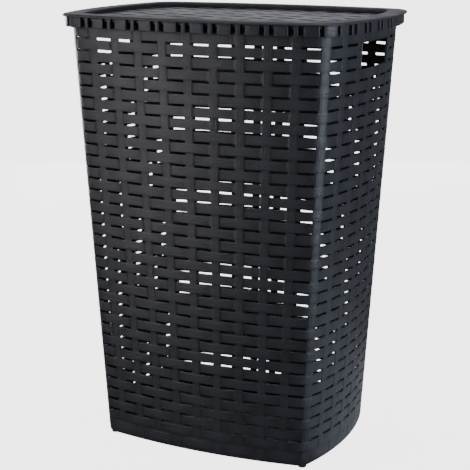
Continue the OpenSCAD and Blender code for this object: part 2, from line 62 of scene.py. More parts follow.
def metres(name, default, description):
    """A length in metres, shown in the panel."""
    return bpy.props.FloatProperty(name=name, description=description, default=default,
                                   min=0.0, precision=5, unit="LENGTH")


def count(name, default, description, least=1):
    """A whole number of rows or columns."""
    return bpy.props.IntProperty(name=name, description=description, default=default, min=least)


def share(name, default, description):
    """A share between nothing and one."""
    return bpy.props.FloatProperty(name=name, description=description, default=default,
                                   min=0.0, max=1.0, subtype="FACTOR")


def colour(name, default, description):
    """A linear base colour."""
    return bpy.props.FloatVectorProperty(name=name, description=description, default=default,
                                         size=3, min=0.0, max=1.0, subtype="COLOR")


class HamperShape(bpy.types.PropertyGroup):
    """Outline and heights of the basket."""
    total_h: metres("Height", LID_TOP, "Height of the closed hamper")
    half_w: metres("Half width", 0.208, "Half width of the wall at the top slot row")
    half_d: metres("Half depth", 0.156, "Half depth of the wall at the top slot row")
    bulge_front: metres("Front bulge", 0.023, "Bulge of the front and back over their half width")
    bulge_side: metres("Side bulge", 0.026, "Bulge of the sides over their half depth")
    corner_r: metres("Corner radius", 0.024, "Corner radius of the wall at the top slot row")
    apex_drop: metres("Apex drop", 3.28, "Depth below the top slot row where all wall lines meet")
    wall_t: metres("Wall thickness", 0.0025, "Thickness of the wall between its strands")
    z_wall: metres("Wall foot", 0.007, "Height at which the wall stands on the bottom plate")
    z_base: metres("Underside", 0.004, "Height of the underside of the bottom plate")
    floor_border: metres("Floor border", 0.026, "Flat border around the raised panel of the floor")
    rib_h: metres("Floor rise", 0.005, "Rise of the panel in the floor")
    foot_r: metres("Foot radius", 0.006, "Radius of each foot")
    floor_r: metres("Floor corner", 0.020, "Corner radius of the raised panel of the floor")


class HamperWeave(bpy.types.PropertyGroup):
    """Slots and strands of the walls."""
    rows: count("Slot rows", 34, "Number of slot rows")
    cols_front: count("Front columns", 10, "Slot columns across the front or the back")
    cols_side: count("Side columns", 7, "Slot columns across a side")
    corner_gap: bpy.props.FloatProperty(name="Corner gap", default=1.06, min=1.0,
                                        description="Column pitch over a corner, in column pitches")
    row_pitch: metres("Row pitch", 0.0164, "Height from one slot row to the next")
    slot_h: metres("Slot height", 0.0035, "Height of one slot")
    slot_share: share("Slot length", 0.66, "Slot length as a share of the column pitch")
    slat_wave: metres("Slat wave", 0.00016, "How far a slat sways in and out past the strips")
    strip_wave: metres("Strip wave", 0.00016, "How far a strip sways in and out past the slats")
    crown: metres("Crown", 0.00016, "Rise of a slat or strip between its edges")
    strand: metres("Strand", 0.00006, "Rise of each of the three strands in a slat or strip")
    grip_rows: count("Hand hole rows", 3, "Slot rows that a hand hole takes the place of")
    grip_cols: count("Hand hole columns", 3, "Slot columns that a hand hole takes the place of")
    grip_r: metres("Hand hole radius", 0.004, "Corner radius of a hand hole")
    odd: count("First crossing", 0, "Even: a slat is on top at the first crossing", 0)


class HamperRim(bpy.types.PropertyGroup):
    """Toothed frieze and flange under the lid."""
    gap: metres("Plain band", 0.015, "Height of plain wall between the top slot row and the frieze")
    z_frieze: metres("Frieze foot", 0.5969, "Height of the underside of the teeth")
    z_flange: metres("Flange foot", 0.6067, "Height of the underside of the flange")
    z_rim: metres("Rim top", 0.6107, "Height of the top of the flange and the teeth")
    set_back: metres("Set back", 0.0045, "How far the flange stays behind the face of the teeth")
    reach: metres("Reach", 0.010, "How far the frieze stands out from the wall")
    tooth_share: share("Wide tooth", 0.48, "Width of a wide tooth as a share of the column pitch")
    thin_share: share("Thin tooth", 0.15, "Width of a thin tooth as a share of the column pitch")
    corner_tooth: metres("Corner tooth", 0.014, "Width of the tooth on a corner")
    round: metres("Rounding", 0.0008, "Rounding of the flange and of the teeth")
    tooth_step: metres("Tooth mesh", 0.004, "Mesh size along a tooth")


class HamperLid(bpy.types.PropertyGroup):
    """Frame and woven panel of the lid."""
    z_lid: metres("Lid foot", 0.6095, "Height of the underside of the lid frame")
    lip_foot: metres("Lip foot", 0.611, "Height of the underside of the lip")
    reach: metres("Reach", 0.014, "How far the frame stands out from the wall line")
    frame_w: metres("Frame width", 0.027, "Width of the smooth frame")
    z_panel: metres("Panel height", 0.609, "Height of the top of the woven panel")
    panel_t: metres("Panel thickness", 0.0026, "Thickness of the woven panel")
    ring_in: metres("Ring place", 0.004, "Distance of the locating ring inside the wall line")
    ring_t: metres("Ring thickness", 0.0025, "Thickness of the locating ring")
    ring_h: metres("Ring depth", 0.006, "How far the locating ring reaches below the lip")
    skin: metres("Skin", 0.0026, "Thickness of the top of the frame")
    lip_t: metres("Lip thickness", 0.0055, "Thickness of the lip around the rim")
    nose: metres("Nose", 0.005, "Width of the rounded outer edge of the frame")
    brow: metres("Brow", 0.0022, "Width of the rounded edge beside the panel")
    brow_h: metres("Brow height", 0.0016, "Height of the rounded edge beside the panel")
    strand_x: metres("Pitch across", 0.038, "Distance of the strands that run from front to back")
    strand_y: metres("Pitch along", 0.018, "Distance of the strands that run across")
    wave: metres("Panel wave", 0.0016, "How far the strands of the panel sway up and down")
    strand_h: metres("Panel strand", 0.0003, "Rise of a strand of the panel over its edges")
    along_share: share("Sway along", 0.5, "Sway of the strands from front to back, as a share")
    cell: metres("Panel cell", 0.0018, "Mesh size of the panel")
    seat: metres("Panel seat", 0.002, "How far the panel reaches in under the frame")


class HamperHinge(bpy.types.PropertyGroup):
    """Hinges behind the rim."""
    hinge_x: metres("Hinge place", 0.062, "Distance of each hinge from the middle")
    hinge_y: metres("Hinge depth", HINGE_LINE[1], "Distance of the hinge line from the middle")
    hinge_z: metres("Hinge height", HINGE_LINE[2], "Height of the hinge line")
    pin_r: metres("Pin radius", 0.0018, "Radius of a hinge pin")
    bore_gap: metres("Bore clearance", 0.00015, "Clearance of a pin in its knuckle")
    knuckle_r: metres("Knuckle radius", 0.0035, "Outer radius of a knuckle")
    knuckle_w: metres("Knuckle width", 0.014, "Width of a knuckle")
    web_in: metres("Web inwards", 0.00516, "How far the web reaches from the hinge line to the rim")
    web_out: metres("Web outwards", 0.0012, "How far the web's top stays inside the hinge line")
    bevel: metres("Bevel", 0.0003, "Bevel of the ends of a knuckle")


class HamperFinish(bpy.types.PropertyGroup):
    """Colours of the moulded plastic."""
    shell: colour("Basket", (0.0146, 0.0151, 0.0200), "Colour of the basket")
    lid: colour("Lid", (0.0156, 0.0161, 0.0212), "Colour of the lid")
    # painted light: the panel's colour is painted a little lighter than the lid's, to brighten its
    # self-shadowed strands
    panel: colour("Panel", (0.0170, 0.0173, 0.0225), "Colour of the woven panel")
    pin: colour("Pin", (0.010, 0.010, 0.012), "Colour of the hinge pins")
    floor: colour("Floor", (0.20, 0.20, 0.20), "Colour of the floor")


class Plan:
    """Outline of the hamper. A quarter of it is an arc of the front, an arc of the corner and an
    arc of the side, each tangent to the next, with the radii rf, rc and rs and the centres cf, cc
    and cs; a height z scales the outline of the top slot row by (z - z_apex) / apex_drop."""

    def __init__(self, shape, weave, rim, lid):
        self.rf = (shape.half_w ** 2 + shape.bulge_front ** 2) / (2 * shape.bulge_front)
        self.rs = (shape.half_d ** 2 + shape.bulge_side ** 2) / (2 * shape.bulge_side)
        self.rc = shape.corner_r
        self.z_top_row = rim.z_frieze - rim.gap
        self.z_apex = self.z_top_row - shape.apex_drop
        self.drop = shape.apex_drop
        self.cf = np.array([0.0, shape.half_d - self.rf])
        self.cs = np.array([shape.half_w - self.rs, 0.0])
        # the corner's centre, where it touches the front arc and the side arc from inside
        a, b = self.rf - self.rc, self.rs - self.rc
        gap = np.linalg.norm(self.cs - self.cf)
        along = (a * a - b * b + gap * gap) / (2 * gap)
        across = math.sqrt(a * a - along * along)
        d = (self.cs - self.cf) / gap
        self.cc = self.cf + along * d + across * np.array([d[1], -d[0]])
        self.phi_f = math.atan2(*(self.cc - self.cf)[::-1])
        self.phi_s = math.atan2(*(self.cc - self.cs)[::-1])
        self.len_f = self.rf * (math.pi / 2 - self.phi_f)
        self.len_c = self.rc * (self.phi_f - self.phi_s)
        self.quarter = self.len_f + self.len_c + self.rs * self.phi_s
        # the slot columns, and the runs of the corner strip between them
        self.pitch = self.quarter / ((weave.cols_front - 1) / 2 + weave.corner_gap
                                     + (weave.cols_side - 1) / 2)
        self.slot_l = weave.slot_share * self.pitch
        front_end = (weave.cols_front - 1) / 2 * self.pitch
        side_start = self.quarter - (weave.cols_side - 1) / 2 * self.pitch
        self.run_corner = (front_end + side_start) / 2
        self.corner_w = (side_start - front_end - self.slot_l) / 2
        self.k_lid = self.scale(lid.z_lid)

    def scale(self, z):
        """Scale of the outline at height z, 1 at the top slot row."""
        return (z - self.z_apex) / self.drop

    def at(self, run, z, off=0.0, k=None):
        """Points at a run from the middle of the front, measured to the right along the outline
        of the top slot row, at height z and off outwards; k scales the outline if it is given."""
        k = self.scale(z) if k is None else k
        q = self.quarter
        t = (np.asarray(run, float) + 2 * q) % (4 * q) - 2 * q
        a = np.abs(t)
        back = a > q
        a = np.where(back, 2 * q - a, a)
        kind = [a <= self.len_f, a <= self.len_f + self.len_c]
        phi = np.select(kind, [math.pi / 2 - a / self.rf, self.phi_f - (a - self.len_f) / self.rc],
                        (q - a) / self.rs)
        r = np.select(kind, [self.rf, self.rc], self.rs)
        cx = np.select(kind, [self.cf[0], self.cc[0]], self.cs[0])
        cy = np.select(kind, [self.cf[1], self.cc[1]], self.cs[1])
        x = (k * (cx + r * np.cos(phi)) + off * np.cos(phi)) * np.where(t < 0, -1.0, 1.0)
        y = (k * (cy + r * np.sin(phi)) + off * np.sin(phi)) * np.where(back, 1.0, -1.0)
        return np.stack(np.broadcast_arrays(x, y, z), -1)

    def sweep(self, section, runs, k):
        """A section carried along the outline: point (i, j) is at runs[j], with the place outwards
        and the height of section[i]."""
        off, z = np.asarray(section).T[..., None]
        return self.at(runs, z, off, k)

    def ring(self, margin=0.006, steps=(40, 40, 40)):
        """Runs around the whole outline: even steps over the front, over the corner with a margin
        on each side, and over the side, mirrored to the back and to the left."""
        q = self.quarter
        stops = (0.0, self.len_f - margin, self.len_f + self.len_c + margin, q)
        one = np.concatenate([np.linspace(a, b, n, endpoint=False)
                              for a, b, n in zip(stops[:-1], stops[1:], steps)])
        half = np.concatenate([one, [q], 2 * q - one[:0:-1]])
        return np.concatenate([half, [2 * q], -half[:0:-1]])


def settings(context):
    """The property groups of the sizes, in the order of the classes."""
    s = context.scene
    return s.hamper_shape, s.hamper_weave, s.hamper_rim, s.hamper_lid, s.hamper_hinge


def plan_of(context):
    """The outline for the sizes in the panel."""
    shape, weave, rim, lid, _ = settings(context)
    return Plan(shape, weave, rim, lid)


def make_piece(name, surface, finish, body, nodes=(), shade_tone=0.5, marks=None, sharp=40.0):
    """A closed mesh from a surface's points and faces, with smooth shading broken at sharp edges.
    It rides on a body and stands for the named solids. marks are point attributes between nothing
    and one; their relief sets the painted shade and painted highlight of the colour, and without
    them the whole piece has one level of painted shade, given as an argument."""
    verts, faces = surface
    mesh = bpy.data.meshes.new(name)
    mesh.from_pydata(verts.tolist(), [], faces)
    if mesh.validate(verbose=False):
        raise RuntimeError(f"{name}: the mesh had faults")
    for key, values in (marks or {"relief": np.full(len(verts), shade_tone)}).items():
        layer = mesh.attributes.new(key, "FLOAT", "POINT")
        layer.data.foreach_set("value", values.astype(np.float32))
    mesh.shade_smooth()
    mesh.set_sharp_from_angle(angle=math.radians(sharp))
    mesh.materials.append(finish)
    piece = bpy.data.objects.new(name, mesh)
    bpy.context.scene.collection.objects.link(piece)
    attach(piece, body)
    if nodes:
        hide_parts(*nodes)


def arc(centre, radii, start, end, n):
    """n points of an arc, or of an ellipse's arc, between two angles in degrees: the centre plus
    (first radius * cos a, second radius * sin a)."""
    a = np.radians(np.linspace(start, end, n))
    return np.column_stack([centre[0] + radii[0] * np.cos(a), centre[1] + radii[1] * np.sin(a)])


def join_parts(parts):
    """Joins (points, faces) pairs into one array of points and one list of faces."""
    verts, faces, n = [], [], 0
    for v, f in parts:
        verts.append(v)
        faces += [[i + n for i in face] for face in f]
        n += len(v)
    return np.concatenate(verts), faces


def grid_quads(ids):
    """Quads between the neighbours in a grid of point numbers, as (row, column, corner)."""
    return np.stack([ids[:-1, :-1], ids[1:, :-1], ids[1:, 1:], ids[:-1, 1:]], -1)


def loops_mesh(loops, closed=False):
    """Faces between loops of equal length, given as (loop, point, xyz) and running anticlockwise
    seen from the side that the loops go towards. Both ends are capped unless the chain is closed
    on itself."""
    m, n = loops.shape[:2]
    idx = np.arange(m * n).reshape(m, n)
    a = idx if closed else idx[:-1]
    b = np.roll(idx, -1, 0) if closed else idx[1:]
    quads = np.stack([a, np.roll(a, -1, 1), np.roll(b, -1, 1), b], -1).reshape(-1, 4).tolist()
    if not closed:
        quads += [idx[0][::-1].tolist(), idx[-1].tolist()]
    return loops.reshape(-1, 3), quads


# ---------------------------------------------------------------- materials

def add_node(tree, kind, place, **values):
    """A shader node with the given input values or settings."""
    node = tree.nodes.new(kind)
    node.location = place
    for key, value in values.items():
        if key in node.inputs:
            node.inputs[key].default_value = value
        else:
            setattr(node, key, value)
    return node


def grain_group():
    """Fine moulded grain in the object's own coordinates: a soft cloud, a fine grain, and a height
    made of that grain plus streaks, which run level on slats and upright on strips, where the
    warp attribute is one. The input says how strong the streaks are."""
    name = "Moulded grain"
    if name in bpy.data.node_groups:
        return bpy.data.node_groups[name]
    tree = bpy.data.node_groups.new(name, "ShaderNodeTree")
    tree.interface.new_socket(name="Streaks", in_out="INPUT", socket_type="NodeSocketFloat")
    for socket in ("Cloud", "Grain", "Height"):
        tree.interface.new_socket(name=socket, in_out="OUTPUT", socket_type="NodeSocketFloat")
    given = add_node(tree, "NodeGroupInput", (150, -600))
    out = add_node(tree, "NodeGroupOutput", (700, 0))
    where = add_node(tree, "ShaderNodeTexCoord", (-700, 0))
    cloud = add_node(tree, "ShaderNodeTexNoise", (-400, 250), Scale=22.0, Detail=3.0,
                     Roughness=0.55)
    grain = add_node(tree, "ShaderNodeTexNoise", (-400, 0), Scale=360.0, Detail=3.0, Roughness=0.7)
    level = add_node(tree, "ShaderNodeMapping", (-550, -250), Scale=(45.0, 45.0, 520.0))
    lines = add_node(tree, "ShaderNodeTexNoise", (-300, -250), Scale=1.0, Detail=2.0)
    upright = add_node(tree, "ShaderNodeMapping", (-550, -500), Scale=(480.0, 480.0, 35.0))
    bars = add_node(tree, "ShaderNodeTexNoise", (-300, -500), Scale=1.0, Detail=2.0)
    warp = add_node(tree, "ShaderNodeAttribute", (-300, -750), attribute_name="warp")
    pick = add_node(tree, "ShaderNodeMix", (150, -350))
    height = add_node(tree, "ShaderNodeMath", (400, -300), operation="MULTIPLY_ADD")
    link = tree.links.new
    for node in (cloud, grain, level, upright):
        link(where.outputs["Object"], node.inputs["Vector"])
    link(level.outputs[0], lines.inputs["Vector"])
    link(upright.outputs[0], bars.inputs["Vector"])
    link(warp.outputs["Fac"], pick.inputs["Factor"])
    link(lines.outputs[0], pick.inputs["A"])
    link(bars.outputs[0], pick.inputs["B"])
    link(pick.outputs["Result"], height.inputs[0])
    link(given.outputs["Streaks"], height.inputs[1])
    link(grain.outputs[0], height.inputs[2])
    link(cloud.outputs[0], out.inputs["Cloud"])
    link(grain.outputs[0], out.inputs["Grain"])
    link(height.outputs[0], out.inputs["Height"])
    return tree


def plastic(name, base, roughness, streaks):
    """Satin moulded plastic: its colour is painted darker in the grooves as painted shade and
    lighter on the crowns of the strands as painted highlight, with a soft cloud in the gloss, and
    fine streaks along each strand and a fine grain in the bump."""
    if name in bpy.data.materials:
        return bpy.data.materials[name]
    groove, crest = 0.55, 1.4       # painted shade and painted highlight: shares of the base colour at the darkest and lightest tone
    darkest = 0.42                  # tone up to which the colour stays darkest
    relief_shade_share = 0.55             # how much the relief adds to the tone, as painted shade and painted highlight
    grain_share = 0.6               # fine grain in the rest of the tone, against the soft cloud
    glossier, duller = 0.06, 0.08   # how far the cloud moves the roughness down and up
    mat = bpy.data.materials.new(name)
    mat.use_nodes = True
    tree = mat.node_tree
    tree.nodes.clear()
    link = tree.links.new
    out = add_node(tree, "ShaderNodeOutputMaterial", (900, 0))
    shader = add_node(tree, "ShaderNodeBsdfPrincipled", (600, 0), IOR=1.5)
    group = add_node(tree, "ShaderNodeGroup", (-700, 0), node_tree=grain_group())
    group.inputs["Streaks"].default_value = streaks
    relief = add_node(tree, "ShaderNodeAttribute", (-700, 300), attribute_name="relief")
    shade_tone = add_node(tree, "ShaderNodeMath", (-400, 300), operation="MULTIPLY_ADD")
    shade_tone.inputs[1].default_value = relief_shade_share
    fleck = add_node(tree, "ShaderNodeMix", (-400, 100), Factor=grain_share)
    ramp = add_node(tree, "ShaderNodeValToRGB", (-150, 300))
    # painted shade at the low end of the ramp and painted highlight at the high end
    dark, light = ramp.color_ramp.elements
    dark.position = darkest
    dark.color = (*[c * groove for c in base], 1)
    light.color = (*[c * crest for c in base], 1)
    gloss = add_node(tree, "ShaderNodeMapRange", (-150, 0),
                     **{"From Min": 0.3, "From Max": 0.7,
                        "To Min": roughness - glossier, "To Max": roughness + duller})
    bump = add_node(tree, "ShaderNodeBump", (300, -250), Strength=1.0, Distance=0.0006)
    link(group.outputs["Cloud"], fleck.inputs["A"])
    link(group.outputs["Grain"], fleck.inputs["B"])
    link(relief.outputs["Fac"], shade_tone.inputs[0])
    link(fleck.outputs["Result"], shade_tone.inputs[2])
    link(shade_tone.outputs[0], ramp.inputs[0])
    link(ramp.outputs[0], shader.inputs["Base Color"])
    link(group.outputs["Cloud"], gloss.inputs["Value"])
    link(gloss.outputs[0], shader.inputs["Roughness"])
    link(group.outputs["Height"], bump.inputs["Height"])
    link(bump.outputs[0], shader.inputs["Normal"])
    link(shader.outputs[0], out.inputs["Surface"])
    return mat


def finish_of(context, kind):
    """The plastic of the basket, the lid, its panel or the hinge pins."""
    f = context.scene.hamper_finish
    if kind == "lid":
        return plastic("Lid plastic", tuple(f.lid), roughness=0.5, streaks=0.3)
    if kind == "panel":
        return plastic("Lid panel plastic", tuple(f.panel), roughness=0.36, streaks=0.3)
    if kind == "pin":
        return plastic("Pin plastic", tuple(f.pin), roughness=0.5, streaks=0.2)
    return plastic("Basket plastic", tuple(f.shell), roughness=0.42, streaks=0.6)


# -------------------------------------------------------------------- walls

# Places of the mesh lines across a strip or slat, -1 and 1 at its edges: each edge and groove, a
# line close beside it on each strand, and the crest of each strand.
STRAND_LINES = np.array([-1, -0.94, -0.667, -0.40, -1 / 3, -0.27, 0, 0.27, 1 / 3, 0.40, 0.667,
                         0.94, 1])
BESIDE = 2.0        # place of the mesh lines along a slot, which are beside every strip
PLAIN = 1.5         # place of the plain bands over the top row and under the bottom row
EPS = 1e-6
SLOT_LINES = 6      # mesh steps along a slot
END_LINES = 10      # mesh steps along the last slot at a corner, where the wall is more curved
STRIP_SHADE = 0.22  # how much darker a strip is than a slat
INNER_SHADE = 0.1    # painted shade: tone of the inner face, kept dark


def strand_crown(x, crown, strand):
    """Rise of a band of three strands over its width: a flat crown that falls off at both edges,
    and three round strands with a groove between each two."""
    return crown * (1 - x ** 4) + strand * np.sqrt(np.abs(np.cos(1.5 * np.pi * x)))


def wall_lines(plan, cols, centre, reach):
    """Upright mesh lines of one wall: strips between the slot columns and lines along each slot.
    Gives the runs, the number of the nearest strip, the place across it and whether the line is
    kept on the plain inner face. The first and the last strip end at the place reach."""
    half = (plan.pitch - plan.slot_l) / 2
    first = centre - (cols - 1) / 2 * plan.pitch
    lines = []
    for j in range(cols + 1):
        mid, w = first + (j - 0.5) * plan.pitch, half
        across, end = STRAND_LINES, 1.0
        if j in (0, cols):
            side = 1 if j else -1
            mid += (plan.corner_w - half) * side
            w = plan.corner_w
            end = -side * reach
            across = across[across * -side > reach - EPS]
        kept = (np.abs(np.abs(across) - 1) < EPS) | (np.abs(across - end) < EPS)
        lines += [(mid + x * w, j, x, keep) for x, keep in zip(across, kept)]
        if j < cols:
            n = END_LINES if j in (0, cols - 1) else SLOT_LINES
            start = first + j * plan.pitch - plan.slot_l / 2
            lines += [(start + i / n * plan.slot_l, j + i / n, BESIDE, True) for i in range(1, n)]
    runs, strip, place, keep = np.array(lines).T
    return runs, strip, place, keep > 0


def row_lines(plan, weave, z0, z1):
    """Level mesh lines of one wall from z0 to z1: the heights, the number of the slat, the place
    across it and whether the line is kept on the plain inner face."""
    half = (weave.row_pitch - weave.slot_h) / 2
    lines = [(z0, weave.rows + 1, -PLAIN, True)]
    for i in range(weave.rows + 1, -1, -1):
        mid = plan.z_top_row + (0.5 - i) * weave.row_pitch
        lines += [(mid + x * half, i, x, abs(abs(x) - 1) < EPS) for x in STRAND_LINES]
    lines.append((z1, 0, PLAIN, True))
    z, slat, place, keep = np.array(lines).T
    return z, slat, place, keep > 0


def woven_relief(plan, weave, strip, px, slat, pz, parity):
    """Height of the weave over the wall's plain face, and where a strip is on top. A slat sways
    by slat_wave * cos(pi * t) from strip to strip, a strip by strip_wave * cos(pi * t) from slat
    to slat with the other sign; each carries the crown of its three strands, and where the two
    cross the higher one is seen."""
    strip, px = strip[:, None], px[:, None]
    slat, pz = slat[None, :], pz[None, :]
    near = np.round(strip)
    on_strip = np.abs(px) <= 1 + EPS
    half = (plan.pitch - plan.slot_l) / 2 / plan.pitch
    beside = (strip - near) * (1 - 2 * half) + half * np.sign(strip - near)
    along = np.where(on_strip, px * half, beside)
    up = pz * 0.5 * (1 - weave.slot_h / weave.row_pitch)
    sign = np.where((near + slat + parity) % 2 == 0, 1.0, -1.0)
    h_slat = (weave.slat_wave * sign * np.cos(np.pi * along)
              + strand_crown(pz, weave.crown, weave.strand))
    h_strip = (-weave.strip_wave * sign * np.cos(np.pi * up)
               + strand_crown(px, weave.crown, weave.strand))
    at_slot = np.abs(pz) > 1 - EPS
    plain = np.abs(pz) > 1 + EPS
    corner = (np.abs(np.abs(px) - 1) < EPS) & at_slot
    over = (np.abs(px) < 1 - EPS) & ((h_strip > h_slat) | at_slot) & ~plain
    return np.where(corner | plain, 0.0, np.where(over, h_strip, h_slat)), over


def wall_holes(plan, weave, cols, centre, grip, u, v):
    """The slots and the hand hole of a wall, each as the numbers of the mesh lines on its left,
    right, lower and upper sides."""
    def nearest(lines, place):
        """Number of the mesh line nearest to a place."""
        return int(np.argmin(np.abs(lines - place)))

    def hole(run, half_l, low, high):
        """Mesh lines around a hole centred on a run."""
        return (nearest(u, run - half_l), nearest(u, run + half_l), nearest(v, low),
                nearest(v, high))

    half_l, half_h = plan.slot_l / 2, weave.slot_h / 2
    mid, reach = (cols - 1) / 2, (weave.grip_cols - 1) / 2
    holes = []
    for j in range(cols):
        start = weave.grip_rows if grip and abs(j - mid) <= reach else 0
        for i in range(start, weave.rows):
            z = plan.z_top_row - i * weave.row_pitch
            holes.append(hole(centre + (j - mid) * plan.pitch, half_l, z - half_h, z + half_h))
    if grip:
        low = plan.z_top_row - (weave.grip_rows - 1) * weave.row_pitch
        holes.append(hole(centre, reach * plan.pitch + half_l, low - half_h,
                          plan.z_top_row + half_h))
    return holes


def side_faces(outer, inner, kept, flip):
    """Faces through the wall, between a line of points on its outer face and the points that are
    kept of that line on its inner face."""
    stops = np.flatnonzero(kept)
    faces = []
    for n, (a, b) in enumerate(zip(stops[:-1], stops[1:])):
        face = outer[a:b + 1].tolist() + [int(inner[n + 1]), int(inner[n])]
        faces.append(face[::-1] if flip else face)
    return faces


def wall_mesh(plan, shape, weave, rim, cols, centre, reach, parity, grip):
    """One woven wall between the strips on two corners: an outer face at the outline plus the
    weave's relief, a plain inner face at the outline less the wall's thickness, and the sides of
    every slot and hand hole."""
    u, strip, px, keep_u = wall_lines(plan, cols, centre, reach)
    v, slat, pz, keep_v = row_lines(plan, weave, shape.z_wall, rim.z_flange)
    relief, over = woven_relief(plan, weave, strip, px, slat, pz, parity)
    outer = plan.at(u[:, None], v, relief)
    inner = plan.at(u[keep_u][:, None], v[keep_v], -shape.wall_t)
    holes = wall_holes(plan, weave, cols, centre, grip, u, v)

    nu, nv = len(u), len(v)
    solid = np.ones((nu - 1, nv - 1), bool)
    for a, b, c, d in holes:
        solid[a:b, c:d] = False
    ids = np.arange(nu * nv).reshape(nu, nv)
    ids_in = nu * nv + np.arange(inner[..., 0].size).reshape(inner.shape[:2])
    iu, iv = np.flatnonzero(keep_u), np.flatnonzero(keep_v)
    turned = grid_quads(ids_in)[..., [0, 3, 2, 1]]
    faces = grid_quads(ids)[solid].tolist() + turned[solid[np.ix_(iu[:-1], iv[:-1])]].tolist()
    num_u, num_v = np.cumsum(keep_u) - 1, np.cumsum(keep_v) - 1

    def around(a, b, c, d, hole):
        """Faces through the wall on the four sides of a hole, or of the whole wall."""
        for j, flip in ((c, not hole), (d, hole)):
            inner_line = ids_in[num_u[a]:num_u[b] + 1, num_v[j]]
            faces.extend(side_faces(ids[a:b + 1, j], inner_line, keep_u[a:b + 1], flip))
        for i, flip in ((a, hole), (b, not hole)):
            inner_line = ids_in[num_u[i], num_v[c]:num_v[d] + 1]
            faces.extend(side_faces(ids[i, c:d + 1], inner_line, keep_v[c:d + 1], flip))

    for sides in holes:
        around(*sides, True)
    around(0, nu - 1, 0, nv - 1, False)

    verts = np.concatenate([outer.reshape(-1, 3), inner.reshape(-1, 3)])
    # painted shade and painted highlight: the colour's tone is darker where the weave lies low, on
    # strips that lie on top and on the inner face, and lighter on the crowns
    top = weave.slat_wave + weave.crown + weave.strand
    shade_tone = np.clip(relief / top - STRIP_SHADE * over, 0, 1)
    marks = {"relief": np.concatenate([shade_tone.ravel(), np.full(ids_in.size, INNER_SHADE)]),
             "warp": np.concatenate([over.ravel(), np.zeros(ids_in.size)])}
    return verts, faces, marks


# Section of the lip in a hand hole: distance outwards from the hole's edge and place outwards from
# the wall's face.
LIP_SECTION = ((-0.0003, 0.0006), (0.0004, 0.0009), (0.0012, 0.0006), (0.0016, 0.0),
               (0.0016, -0.0019), (0.0012, -0.0027), (0.0002, -0.0029), (-0.0005, -0.0024),
               (-0.0006, 0.0))
LIP_CORNER = 8      # points on a corner of the lip
LIP_STEP = 0.008    # mesh size on its straight sides, so that they follow the wall


def grip_lip(plan, weave, centre):
    """Smooth lip in a hand hole: a rounded rectangle, whose points are a corner's centre plus
    (radius + out) * (cos a, sin a), swept by a small rounded section."""
    half_l = (weave.grip_cols - 1) / 2 * plan.pitch + plan.slot_l / 2
    half_h = ((weave.grip_rows - 1) * weave.row_pitch + weave.slot_h) / 2
    mid_z = plan.z_top_row - (weave.grip_rows - 1) / 2 * weave.row_pitch
    middles = np.array([(1, 1), (-1, 1), (-1, -1), (1, -1)])
    middles = middles * (half_l - weave.grip_r, half_h - weave.grip_r)
    angle = np.arange(4)[:, None] * math.pi / 2 + np.linspace(0, math.pi / 2, LIP_CORNER)
    facing = np.stack([np.cos(angle), np.sin(angle)], -1)
    out, off = np.array(LIP_SECTION).T[..., None]
    loops = middles[:, None] + (weave.grip_r + out)[..., None, None] * facing
    loops = loops.reshape(len(out), -1, 2)
    ahead = np.roll(loops, -1, 1) - loops
    steps = np.maximum(1, (np.linalg.norm(ahead[0], axis=-1) / LIP_STEP).astype(int))
    point = np.repeat(np.arange(len(steps)), steps)
    part = (np.arange(len(point)) - (np.cumsum(steps) - steps)[point]) / steps[point]
    path = loops[:, point] + ahead[:, point] * part[:, None]
    grid = plan.at(centre + path[..., 0], mid_z + path[..., 1], off)
    return loops_mesh(grid[::-1], closed=True)


class HAMPER_OT_walls(bpy.types.Operator):
    """Builds the four woven walls with their slots and hand holes"""
    bl_idname = "hamper.walls"
    bl_label = "Woven walls"

    def execute(self, context):
        shape, weave, rim, _, _ = settings(context)
        plan = plan_of(context)
        finish = finish_of(context, "shell")
        q, third = plan.quarter, 1 / 3
        fronts, sides = ("left", "right"), ("front", "back")
        # two thirds of a corner's strip belong to the front or back, and one third to the side
        walls = (("front", 0.0, weave.cols_front, -third, False, fronts),
                 ("right", q, weave.cols_side, third, True, sides),
                 ("back", 2 * q, weave.cols_front, -third, False, fronts),
                 ("left", -q, weave.cols_side, third, True, sides))
        parity = weave.odd
        for name, centre, cols, reach, grip, ends in walls:
            verts, faces, marks = wall_mesh(plan, shape, weave, rim, cols, centre, reach, parity,
                                            grip)
            nodes = [f"wall_{name}"] + [f"wall_{name}_{end}" for end in ends]
            make_piece(f"weave_{name}", (verts, faces), finish, "basket", nodes,
                       marks=marks, sharp=38.0)
            if grip:
                # painted light: the lip's colour is painted a step lighter than the middle level
                make_piece(f"grip_lip_{name}", grip_lip(plan, weave, centre), finish, "basket",
                           shade_tone=0.7)
            parity += cols
        return {"FINISHED"}


# -------------------------------------------------------------- bottom, feet

FLOOR_SIDE, FLOOR_CORNER = 30, 12   # mesh steps on half a side and on a corner of the floor
FOOT_POINTS = 32                    # points around a foot


def rounded_box(half_x, half_y, r, inset):
    """Points of a rounded rectangle, anticlockwise from the middle of the front: half of the
    front, a corner's centre plus r * (cos a, sin a), and half of the right side, mirrored to the
    back and to the left. The inset draws all of it in."""
    hx, hy, r = half_x - inset, half_y - inset, max(r - inset, 0.0005)
    t = np.linspace(0, 1, FLOOR_SIDE, endpoint=False)
    front = np.column_stack([(hx - r) * t, np.full(len(t), -hy)])
    corner = arc((hx - r, r - hy), (r, r), -90, 0, FLOOR_CORNER + 1)[:-1]
    side = np.column_stack([np.full(len(t), hx), -(hy - r) * (1 - t)])
    quarter = np.concatenate([front, corner, side])
    right = np.concatenate([quarter, [[hx, 0.0]], quarter[:0:-1] * [1, -1]])
    return np.concatenate([right, [[0.0, hy]], right[:0:-1] * [-1, 1]])


